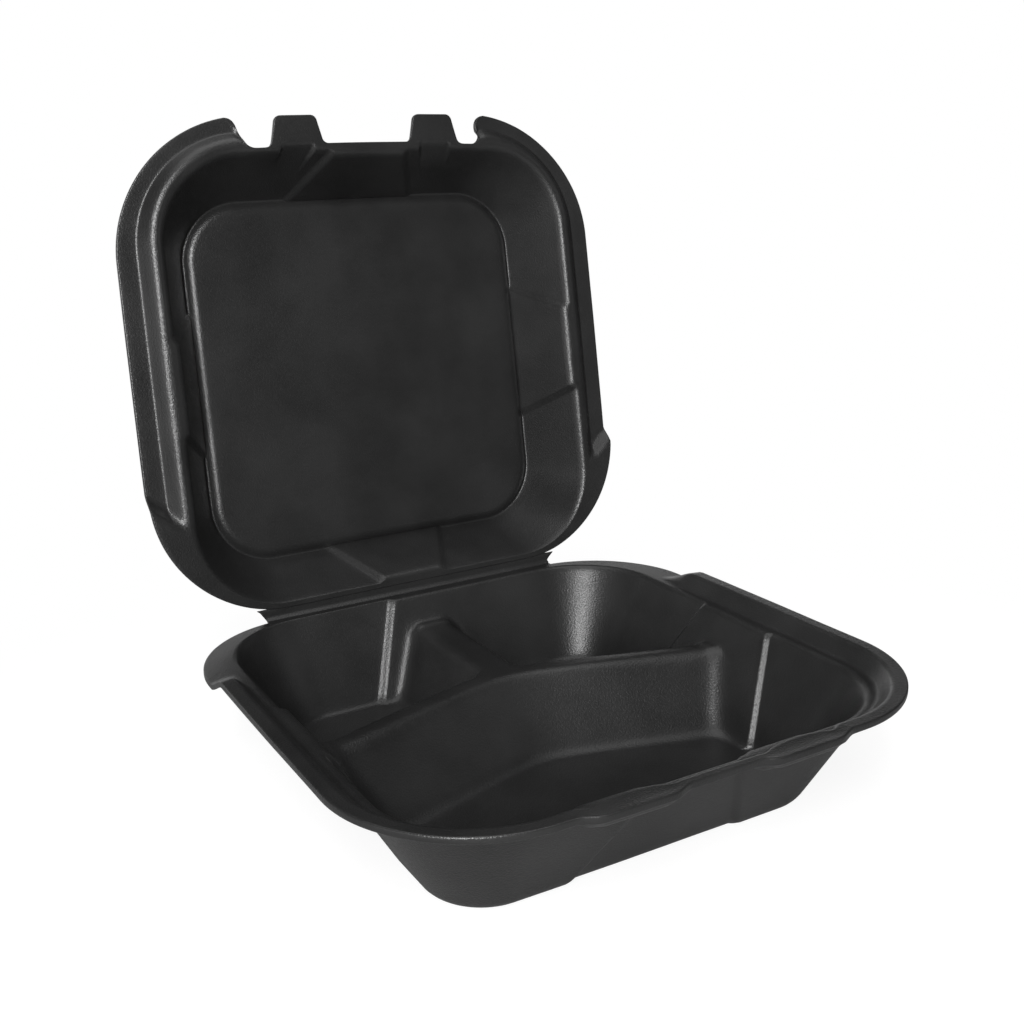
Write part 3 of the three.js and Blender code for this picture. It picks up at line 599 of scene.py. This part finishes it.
def lid_shell():
    """Rows of the lid's right half, from the middle inside to the middle outside."""
    runs = Runs(LID_LEGS)
    tail = runs.part(FRONT)
    side_w = runs.weights(SIDE, [0, 0, 1, 1, 0, 0])
    back_w = runs.weights(BACK, [1, 1, 0, 0])
    path = front_edge()
    lengths = np.concatenate([[0], np.cumsum(np.hypot(*np.diff(path[:, :2], axis=0).T))])
    at = np.linspace(0, lengths[-1], runs.sizes[FRONT], endpoint=False)
    front_x, front_d, front_mouth = (np.interp(at, lengths, path[:, k]) for k in range(3))
    panel_in, panel_out = END_PANEL_HALF - PANEL_EDGE / 2, END_PANEL_HALF + PANEL_EDGE / 2
    centre_d = (PLATEAU_BACK + PLATEAU_FRONT) / 2
    ceiling = LID_DEPTH - SHEET

    def outline(half, back, front, back_radius, front_radius, panel_half, end_half,
                corner_end=0.0):
        panel = (LID_PANEL_MIDDLE, panel_half, PANEL_EDGE)
        return ring(runs, half, back, front, back_radius, front_radius, panel, end_half, [0.0],
                    corner_end)

    def follow(x, d, spread_by):
        """Puts the front run's stations opposite the rim's features, with the end panel's edges
        spread_by further out."""
        x = x.copy()
        stops = [0, panel_in, panel_out, front_mouth[0]]
        places = [0, panel_in + spread_by, panel_out + spread_by, x[tail.start]]
        x[tail] = np.interp(front_mouth, stops, places)
        return x, d

    def mouth_ring(front):
        return follow(*outline(MOUTH_HALF, MOUTH_BACK, front, MOUTH_RADIUS, MOUTH_RADIUS,
                               SIDE_PANEL_HALF, END_PANEL_HALF), 0)

    front_w = np.zeros(runs.count)
    front_w[tail] = 1 - smooth((front_mouth - panel_in) / PANEL_EDGE)
    front_w[-1] = 1
    thumb_w = np.zeros(runs.count)
    thumb_w[tail] = smooth((THUMB_HALF - np.abs(front_mouth - TAB_MIDDLE)) / THUMB_EDGE)

    def panelled(x, d, inset):
        return x - inset * side_w, d + inset * (back_w - front_w)

    def plateau_ring(by):
        """The raised middle's outline, grown by that many millimetres."""
        x, d = outline(PLATEAU_HALF + by, PLATEAU_BACK - by, PLATEAU_FRONT + by,
                       PLATEAU_RADIUS + by, PLATEAU_RADIUS + by, LID_PANEL_FOOT_HALF,
                       END_PANEL_FOOT_HALF)
        return follow(x, d, END_PANEL_FOOT_HALF - END_PANEL_HALF)

    rim_x, rim_d = outline(LID_HALF, RIM_BACK, RIM_FRONT, LID_BACK_RADIUS, LID_FRONT_RADIUS,
                           SIDE_PANEL_HALF, END_PANEL_HALF, path[0, 0])
    rim_x[tail], rim_d[tail] = front_x, front_d
    rim_x[-1], rim_d[-1] = 0.0, LOW_EDGE

    def stepped(d):
        """1 where the rim is stepped. The step ends in the rim's rounded end; the notch, the tab
        and the low edge are level."""
        weight = np.ones(runs.count)
        weight[tail] = smooth((d[tail] - STEP_FOOT_D) / STEP_RUN) * (front_x > STEP_SIDE)
        weight[-1] = 0
        return weight

    low_x, low_d = ledge_ring(mouth_ring(MOUTH_FRONT), (rim_x, rim_d), LID_HALF, LID_RISER[0])
    high_x, high_d = ledge_ring(mouth_ring(MOUTH_FRONT), (rim_x, rim_d), LID_HALF, LID_RISER[1])
    step = LIP_HEIGHT * slope((rim_d - LID_LIP_START) / (LID_LIP_FULL - LID_LIP_START))
    keep = stepped(rim_d)
    rim_e = step * keep + CLOSED_GAP
    high_e = step * np.minimum(stepped(high_d), keep) + CLOSED_GAP

    mouth_x, mouth_d = panelled(*mouth_ring(LID_MOUTH_FRONT), PANEL_INSET)
    mouth_d = mouth_d + THUMB_DEPTH * thumb_w
    foot_x, foot_d = panelled(*plateau_ring(GROOVE), FOOT_INSET)
    down = THUMB_FOOT / ceiling
    hollow_x = mix(mouth_x, foot_x, down)
    hollow_d = mix(mouth_d, foot_d, down) - THUMB_DEPTH * thumb_w * (1 - down)

    def outer(x, d, by):
        return grown(x, d, by, LID_HALF, centre_d)

    def below(x, d):
        """One of the riser's bends on the outside, set off only where the rim is stepped."""
        out_x, out_d = outer(x, d, BEND_OUT)
        return mix(x, out_x, keep), mix(d, out_d, keep)

    centre_x, centre = np.zeros(runs.count), np.full(runs.count, centre_d)
    return sweep([
        (points(centre_x, centre, ceiling - PLATEAU_RISE), 0, 0, 0),
        (points(*plateau_ring(0), ceiling - PLATEAU_RISE), 2.2, 20, 4),
        (points(*plateau_ring(PLATEAU_EDGE), ceiling), 0.7, 2, 3),
        (points(foot_x, foot_d, ceiling), 1.6, 1, 4),
        (points(hollow_x, hollow_d, THUMB_FOOT), 4.0, 8, 2),
        (points(mouth_x, mouth_d, CLOSED_GAP), 3.4, 6, 4),
        (points(low_x, low_d, CLOSED_GAP), 2.6, 2, 3),
        (points(high_x, high_d, high_e), 0.9, 2, 3),
        (points(rim_x, rim_d, rim_e), 0.6, 3, 3),
        (points(rim_x, rim_d, rim_e + SHEET), 1.0, 2, 3),
        (points(*below(high_x, high_d), high_e + SHEET), 1.5, 3, 3),
        (points(*below(low_x, low_d), CLOSED_GAP + SHEET), 1.6, 2, 3),
        (points(*outer(mouth_x, mouth_d, WALL_OUT), CLOSED_GAP + SHEET), 2.4, 2, 4),
        (points(*outer(hollow_x, hollow_d, WALL_OUT), THUMB_FOOT + SHEET / 2), 4.0, 5, 2),
        (points(*outer(foot_x, foot_d, WALL_OUT), LID_DEPTH), 3.0, 7, 4),
        (points(*plateau_ring(PLATEAU_EDGE - SHEET), LID_DEPTH), 1.4, 1, 3),
        (points(*plateau_ring(-SHEET), LID_DEPTH - PLATEAU_RISE), 2.0, 2, 4),
        (points(centre_x, centre, LID_DEPTH - PLATEAU_RISE), 0, 14, 0),
    ])


# ---- node trees ----
def node(tree, kind, inputs=None, **values):
    """Adds a node. Its inputs are numbers, colours or the sockets that feed them, by name or
    place; the values are its own settings."""
    made = tree.nodes.new(kind)
    made.location.x = NODE_SPACING * len(tree.nodes)
    for key, value in values.items():
        setattr(made, key, value)
    for key, value in (inputs or {}).items():
        if isinstance(value, bpy.types.NodeSocket):
            tree.links.new(value, made.inputs[key])
        else:
            made.inputs[key].default_value = value
    return made


def blank_material(name):
    material = bpy.data.materials.new(name)
    material.use_nodes = True
    material.node_tree.nodes.clear()
    return material, material.node_tree


def foam_material(name, finish):
    """Black formed foam: a satin skin, finely pebbled, with faint mottling and bright specks."""
    material, tree = blank_material(name)
    place = node(tree, "ShaderNodeTexCoord").outputs["Object"]

    def noise(size, detail):
        scale = 1 / (size * MILLIMETRE)
        inputs = {"Vector": place, "Scale": scale, "Detail": detail}
        return node(tree, "ShaderNodeTexNoise", inputs).outputs["Fac"]

    def shade(share):
        return (*[min(1.0, c * share) for c in finish.colour], 1)

    grain = noise(finish.grain / MILLIMETRE, GRAIN_DETAIL)
    mottle = noise(MOTTLE_SIZE, MOTTLE_DETAIL)
    fleck = node(tree, "ShaderNodeTexVoronoi",
                 {"Vector": place, "Scale": 1 / (SPECK_SPACING * MILLIMETRE)})
    tone = node(tree, "ShaderNodeValToRGB", {"Fac": mottle})
    stops = zip(tone.color_ramp.elements, MOTTLE_BAND, (MOTTLE_DARK, MOTTLE_LIGHT))
    for element, position, share in stops:
        element.position = position
        element.color = shade(share)
    speck = node(tree, "ShaderNodeMapRange", {
        "Value": fleck.outputs["Distance"], "From Min": SPECK_REACH, "From Max": 0.0})
    colour = node(tree, "ShaderNodeMix", {
        "Factor": speck.outputs["Result"], "A": tone.outputs["Color"],
        "B": shade(SPECK_LIGHT)}, data_type="RGBA")
    rough = node(tree, "ShaderNodeMapRange", {
        "Value": grain, "From Min": GRAIN_BAND[0], "From Max": GRAIN_BAND[1],
        "To Min": finish.roughness + GRAIN_ROUGHNESS[0],
        "To Max": finish.roughness + GRAIN_ROUGHNESS[1]})
    bump = node(tree, "ShaderNodeBump", {
        "Height": grain, "Strength": finish.pebble, "Distance": PEBBLE_HEIGHT * MILLIMETRE})
    shader = node(tree, "ShaderNodeBsdfPrincipled", {
        "Base Color": colour.outputs["Result"], "Roughness": rough.outputs["Result"],
        "Normal": bump.outputs["Normal"], "IOR": FOAM_IOR})
    node(tree, "ShaderNodeOutputMaterial", {"Surface": shader.outputs["BSDF"]})
    return material


def geometry_tree(name, sizes):
    """A tree that takes a mesh, these sizes and a material. Gives the tree and its inputs."""
    tree = bpy.data.node_groups.new(name, "GeometryNodeTree")
    face = tree.interface
    face.new_socket("Geometry", in_out="INPUT", socket_type="NodeSocketGeometry")
    for size in sizes:
        face.new_socket(size, in_out="INPUT", socket_type="NodeSocketFloat")
    face.new_socket("Material", in_out="INPUT", socket_type="NodeSocketMaterial")
    face.new_socket("Geometry", in_out="OUTPUT", socket_type="NodeSocketGeometry")
    return tree, node(tree, "NodeGroupInput").outputs


def moved_and_painted(tree, start, geometry, offset):
    """The tree's last nodes: points moved by offset, instances made real, the material set."""
    move = node(tree, "GeometryNodeSetPosition", {"Geometry": geometry, "Offset": offset})
    real = node(tree, "GeometryNodeRealizeInstances", {0: move.outputs[0]})
    paint = node(tree, "GeometryNodeSetMaterial",
                 {"Geometry": real.outputs[0], "Material": start["Material"]})
    node(tree, "NodeGroupOutput", {0: paint.outputs[0]})


def worked(tree, operation, first, second):
    """The result of one sum on two numbers or sockets."""
    return node(tree, "ShaderNodeMath", {0: first, 1: second}, operation=operation).outputs[0]


def baked(thing, tree, values):
    """Turns a modifier of that tree, with those inputs by name, into the object's own mesh."""
    modifier = thing.modifiers.new("nodes", "NODES")
    modifier.node_group = tree
    sockets = [socket for socket in tree.interface.items_tree if socket.in_out == "INPUT"]
    identifiers = {socket.name: socket.identifier for socket in sockets}
    for name, value in values.items():
        modifier[identifiers[name]] = value
    graph = bpy.context.evaluated_depsgraph_get()
    mesh = bpy.data.meshes.new_from_object(thing.evaluated_get(graph))
    thing.modifiers.remove(modifier)
    old = thing.data
    thing.data = mesh
    mesh.name = thing.name
    bpy.data.meshes.remove(old)


def skinned(thing, material, seed, finish):
    """Gives a formed shell the slight unevenness of a foam skin, by geometry nodes."""
    tree, start = geometry_tree("foam_skin", ("Unevenness", "Wave Scale", "Seed"))
    wave = node(tree, "ShaderNodeTexNoise", {
        "Scale": start["Wave Scale"], "W": start["Seed"], "Detail": WAVE_DETAIL},
        noise_dimensions="4D")
    centred = worked(tree, "SUBTRACT", wave.outputs["Fac"], 0.5)
    tall = worked(tree, "MULTIPLY", centred, start["Unevenness"])
    normal = node(tree, "GeometryNodeInputNormal")
    push = node(tree, "ShaderNodeVectorMath", {0: normal.outputs[0], "Scale": tall},
                operation="SCALE")
    moved_and_painted(tree, start, start["Geometry"], push.outputs[0])
    baked(thing, tree, {"Unevenness": finish.unevenness, "Wave Scale": WAVES_PER_METRE,
                        "Seed": seed, "Material": material})


# ---- the hinge strip ----
def strip_tree():
    """Geometry nodes that sweep a strip's section along the hinge and flare its lid side."""
    tree, start = geometry_tree("hinge_strip", ("Half Length", "Flare", "Crease Height"))
    half, crease = start["Half Length"], start["Crease Height"]
    ends = [node(tree, "ShaderNodeCombineXYZ", {0: x}).outputs[0]
            for x in (worked(tree, "MULTIPLY", half, -1.0), half)]
    line = node(tree, "GeometryNodeCurvePrimitiveLine", {"Start": ends[0], "End": ends[1]})
    fine = node(tree, "GeometryNodeResampleCurve",
                {"Curve": line.outputs[0], "Count": STRIP_RINGS})
    section = node(tree, "GeometryNodeMeshToCurve", {"Mesh": start["Geometry"]})
    swept = node(tree, "GeometryNodeCurveToMesh", {
        "Curve": fine.outputs[0], "Profile Curve": section.outputs[0], "Fill Caps": True})
    where = node(tree, "GeometryNodeInputPosition")
    split = node(tree, "ShaderNodeSeparateXYZ", {0: where.outputs[0]})
    flare_top = worked(tree, "ADD", crease, FLARE_RISE * MILLIMETRE)
    above = node(tree, "ShaderNodeMapRange", {
        "Value": split.outputs["Z"], "From Min": crease, "From Max": flare_top},
        interpolation_type="SMOOTHSTEP")
    share = worked(tree, "DIVIDE", split.outputs["X"], half)
    wide = worked(tree, "MULTIPLY", share, above.outputs["Result"])
    far = worked(tree, "MULTIPLY", wide, start["Flare"])
    offset = node(tree, "ShaderNodeCombineXYZ", {0: far})
    moved_and_painted(tree, start, swept.outputs[0], offset.outputs[0])
    return tree


def strip_section():
    """The strip's section, from the base's rim over the crease to the lid's rim and back."""

    def side(place, e):
        return place(np.array([(0.0, d, e) for d in STRIP_STOPS]))

    def beyond(y, z):
        return CREASE + np.array([[0.0, y, z]]) * MILLIMETRE

    sunk = STRIP_LID_SINK
    return np.concatenate([
        side(place_base, STRIP_INNER), beyond(-STRIP_BEAD, STRIP_BEAD),
        side(place_lid, STRIP_INNER + sunk)[::-1], side(place_lid, STRIP_OUTER + sunk),
        beyond(STRIP_BACK, -STRIP_BACK), side(place_base, STRIP_OUTER)[::-1]])


# ---- the stage ----
def area_light(name, way, far, size, power):
    light = bpy.data.lights.new(name, "AREA")
    light.shape = "RECTANGLE"
    light.size, light.size_y = size
    light.energy = power
    thing = new_object(name, light)
    direction = Vector(way).normalized()
    thing.location = Vector(STAGE_MIDDLE) + direction * far
    thing.rotation_mode = "QUATERNION"
    thing.rotation_quaternion = direction.to_track_quat("Z", "Y")


def make_camera(scene):
    camera = bpy.data.cameras.new("camera")
    camera.lens, camera.sensor_width = CAMERA_LENS, CAMERA_SENSOR
    camera.shift_x, camera.shift_y = CAMERA_SHIFT
    thing = new_object("camera", camera)
    turn = (Matrix.Rotation(math.radians(CAMERA_HEADING), 4, "Z")
            @ Matrix.Rotation(math.radians(90 - CAMERA_DIP), 4, "X")
            @ Matrix.Rotation(math.radians(CAMERA_ROLL), 4, "Z"))
    thing.matrix_world = Matrix.Translation(CAMERA_PLACE) @ turn
    scene.camera = thing


def card(name, corners):
    """A flat, four-cornered piece of the stage, with an empty material."""
    mesh = bpy.data.meshes.new(name)
    mesh.from_pydata(corners, [], [(0, 1, 2, 3)])
    material, tree = blank_material(name)
    mesh.materials.append(material)
    return new_object(name, mesh), tree


def camera_sees(tree, output, unseen, seen):
    """The camera sees one shader directly, and all that is lit or mirrored meets the other."""
    ray = node(tree, "ShaderNodeLightPath")
    pick = node(tree, "ShaderNodeMixShader", {0: ray.outputs["Is Camera Ray"], 1: unseen, 2: seen})
    node(tree, output, {"Surface": pick.outputs[0]})


def make_floor():
    """Pale paper. Seen directly, it keeps a faint shadow near the container and is plain white
    further out."""
    r = FLOOR_HALF
    floor, tree = card("floor", [(-r, -r, 0), (r, -r, 0), (r, r, 0), (-r, r, 0)])
    floor.location.z = -FLOOR_DROP
    paper = node(tree, "ShaderNodeBsdfDiffuse", {"Color": (PAPER, PAPER, PAPER, 1)})
    grey = SHADOWED_PAPER
    faint = node(tree, "ShaderNodeBsdfDiffuse", {"Color": (grey, grey, grey, 1)})
    glow = node(tree, "ShaderNodeEmission", {"Strength": PAPER_GLOW})
    white = node(tree, "ShaderNodeEmission")
    near = node(tree, "ShaderNodeAddShader", {0: faint.outputs[0], 1: glow.outputs[0]})
    place = node(tree, "ShaderNodeTexCoord")
    reach = node(tree, "ShaderNodeVectorMath", {0: place.outputs["Object"]}, operation="LENGTH")
    fade = node(tree, "ShaderNodeMapRange", {
        "Value": reach.outputs["Value"], "From Min": SHADOW_FADE[0], "From Max": SHADOW_FADE[1]},
        interpolation_type="SMOOTHSTEP")
    seen = node(tree, "ShaderNodeMixShader",
                {0: fade.outputs["Result"], 1: near.outputs[0], 2: white.outputs[0]})
    camera_sees(tree, "ShaderNodeOutputMaterial", paper.outputs[0], seen.outputs[0])


def make_backdrop(level):
    """A pale screen behind, which the rim and ledges mirror."""
    wide, tall, y = BACKDROP_HALF, BACKDROP_HEIGHT, BACKDROP_BEHIND
    screen, tree = card("backdrop", [(-wide, y, 0), (wide, y, 0), (wide, y, tall), (-wide, y, tall)])
    light = node(tree, "ShaderNodeEmission", {"Strength": level})
    white = node(tree, "ShaderNodeEmission")
    camera_sees(tree, "ShaderNodeOutputMaterial", light.outputs[0], white.outputs[0])


def make_world(scene, level):
    world = bpy.data.worlds.new("room")
    scene.world = world
    world.use_nodes = True
    tree = world.node_tree
    tree.nodes.clear()
    white = (1, 1, 1, 1)
    room = node(tree, "ShaderNodeBackground", {"Color": white, "Strength": level})
    plain = node(tree, "ShaderNodeBackground", {"Color": white})
    camera_sees(tree, "ShaderNodeOutputWorld", room.outputs[0], plain.outputs[0])


# ---- properties ----
class ContainerFoam(bpy.types.PropertyGroup):
    """The foam's finish, shared by both shells and the hinge strip."""

    colour: bpy.props.FloatVectorProperty(
        name="Colour", description="Colour of the foam", subtype="COLOR", size=3,
        min=0.0, max=1.0, default=(0.0145, 0.0145, 0.0145))
    roughness: bpy.props.FloatProperty(
        name="Roughness", description="Roughness of the foam's skin", subtype="FACTOR",
        min=0.0, max=1.0, default=0.33)
    grain: bpy.props.FloatProperty(
        name="Grain", description="Size of the pebbled grain", unit="LENGTH", default=0.0007)
    pebble: bpy.props.FloatProperty(
        name="Pebble", description="Strength of the pebbled grain", subtype="FACTOR",
        min=0.0, max=1.0, default=0.55)
    unevenness: bpy.props.FloatProperty(
        name="Unevenness", description="Height of the formed skin's gentle waves",
        unit="LENGTH", default=0.0003)


class ContainerHinge(bpy.types.PropertyGroup):
    """The pressed strip that joins the shells."""

    half_length: bpy.props.FloatProperty(
        name="Half Length", description="Half the length of the hinge strip", unit="LENGTH",
        default=0.073)
    flare: bpy.props.FloatProperty(
        name="Flare", description="How much longer the strip is at the lid, at each end",
        unit="LENGTH", default=0.005)


class ContainerStage(bpy.types.PropertyGroup):
    """Lights, surroundings and backdrop."""

    key: bpy.props.FloatProperty(
        name="Key Light", description="Power of the key light", unit="POWER", default=26.0)
    fill: bpy.props.FloatProperty(
        name="Fill Light", description="Power of the fill light", unit="POWER", default=0.6)
    top: bpy.props.FloatProperty(
        name="Top Light", description="Power of the soft light overhead", unit="POWER",
        default=5.1)
    side: bpy.props.FloatProperty(
        name="Side Light", description="Power of the low light on the left", unit="POWER",
        default=2.6)
    sky: bpy.props.FloatProperty(
        name="Surroundings", description="Brightness of the room", default=0.04)
    backdrop: bpy.props.FloatProperty(
        name="Backdrop", description="Brightness of the pale screen behind", default=1.0)


# ---- operators ----
class CONTAINER_OT_base(bpy.types.Operator):
    """Make the base with its compartments"""

    bl_idname = "container.base"
    bl_label = "Base"

    def execute(self, context):
        finish = context.scene.container_foam
        thing = closed_mesh("tray_base", base_shell(True), base_shell(False), place_base)
        skinned(thing, foam_material("tray_foam", finish), BASE_SEED, finish)
        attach(thing, "base")
        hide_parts("compartment_base")
        return {"FINISHED"}


class CONTAINER_OT_lid(bpy.types.Operator):
    """Make the lid with its latch tabs"""

    bl_idname = "container.lid"
    bl_label = "Lid"

    def execute(self, context):
        finish = context.scene.container_foam
        rows = lid_shell()
        thing = closed_mesh("tray_lid", rows, rows, place_lid)
        skinned(thing, foam_material("cover_foam", finish), LID_SEED, finish)
        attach(thing, "lid")
        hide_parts("hinged_lid")
        return {"FINISHED"}


class CONTAINER_OT_hinge(bpy.types.Operator):
    """Make the pressed strip that bends between the base and the lid"""

    bl_idname = "container.hinge"
    bl_label = "Hinge Strip"

    def execute(self, context):
        size = context.scene.container_hinge
        section = strip_section()
        count = len(section)
        mesh = bpy.data.meshes.new("hinge_strip")
        # Along +X, Curve to Mesh lays a section's x towards -Y and its y towards -Z.
        flat = [(-p[1], -p[2], 0.0) for p in section]
        mesh.from_pydata(flat, [(i, (i + 1) % count) for i in range(count)], [])
        thing = new_object("hinge_strip", mesh)
        material = foam_material("strip_foam", context.scene.container_foam)
        baked(thing, strip_tree(), {"Half Length": size.half_length, "Flare": size.flare,
                                    "Crease Height": float(CREASE[2]), "Material": material})
        face_outwards(thing.data)
        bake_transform(thing)
        return {"FINISHED"}


class CONTAINER_OT_stage(bpy.types.Operator):
    """Make the floor, the lights and the camera"""

    bl_idname = "container.stage"
    bl_label = "Stage"

    def execute(self, context):
        scene = context.scene
        levels = scene.container_stage
        make_floor()
        make_world(scene, levels.sky)
        make_backdrop(levels.backdrop)
        for name, way, far, size in LIGHTS:
            area_light(name, way, far, size, getattr(levels, name))
        make_camera(scene)
        scene.view_settings.view_transform = "Standard"
        return {"FINISHED"}


class CONTAINER_PT_panel(bpy.types.Panel):
    """The container's pieces and settings"""

    bl_idname = "CONTAINER_PT_panel"
    bl_label = "Compartment Container"
    bl_space_type = "VIEW_3D"
    bl_region_type = "UI"
    bl_category = "Container"

    def draw(self, context):
        layout = self.layout
        for group in GROUPS:
            box = layout.box()
            values = getattr(context.scene, group)
            for key in values.__annotations__:
                box.prop(values, key)
        for operator in OPERATORS:
            layout.operator(operator.bl_idname)


GROUPS = {
    "container_foam": ContainerFoam,
    "container_hinge": ContainerHinge,
    "container_stage": ContainerStage,
}
OPERATORS = (CONTAINER_OT_base, CONTAINER_OT_lid, CONTAINER_OT_hinge, CONTAINER_OT_stage)


def register():
    for made in (*GROUPS.values(), *OPERATORS, CONTAINER_PT_panel):
        bpy.utils.register_class(made)
    for name, group in GROUPS.items():
        setattr(bpy.types.Scene, name, bpy.props.PointerProperty(type=group))


def unregister():
    for name in GROUPS:
        delattr(bpy.types.Scene, name)
    for made in (CONTAINER_PT_panel, *reversed(OPERATORS), *reversed(list(GROUPS.values()))):
        bpy.utils.unregister_class(made)


def main():
    register()
    bpy.ops.container.base()
    bpy.ops.container.lid()
    bpy.ops.container.hinge()
    bpy.ops.container.stage()
    bpy.context.view_layer.update()


if __name__ == "__main__":
    main()
